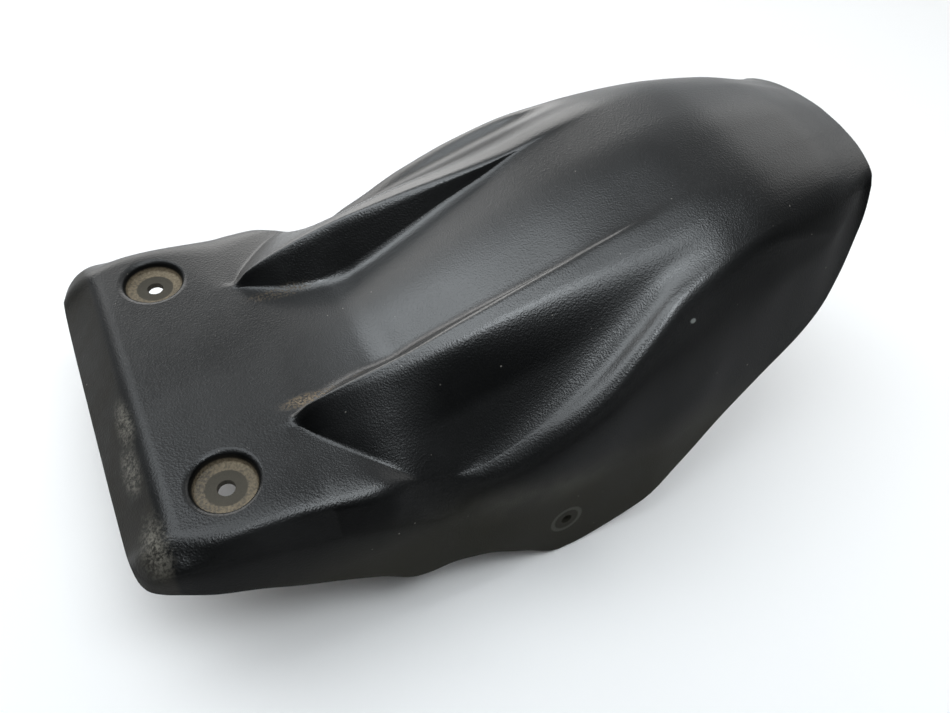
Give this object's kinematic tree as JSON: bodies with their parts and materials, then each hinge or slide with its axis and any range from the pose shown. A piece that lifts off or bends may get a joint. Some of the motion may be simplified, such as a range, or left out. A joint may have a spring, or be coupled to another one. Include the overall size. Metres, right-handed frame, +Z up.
{
  "type": "motorcycle rear hugger mudguard",
  "caption": "One-piece black plastic rear hugger mudguard: flat bolt plate with sunk seats, raised flanks and an arch over the tyre, with deep side skirts",
  "frame": {"origin": "midway between the two plate bolts, half way through the wall that they clamp", "axes": "X from the front lip to the tail, Y across, Z up from the seat plate"},
  "size_m": [0.385, 0.214, 0.1615],
  "materials": {
    "hugger": "satin grained, used"
  },
  "bodies": {
    "root": {"hugger": "hugger"}
  },
  "joints": []
}
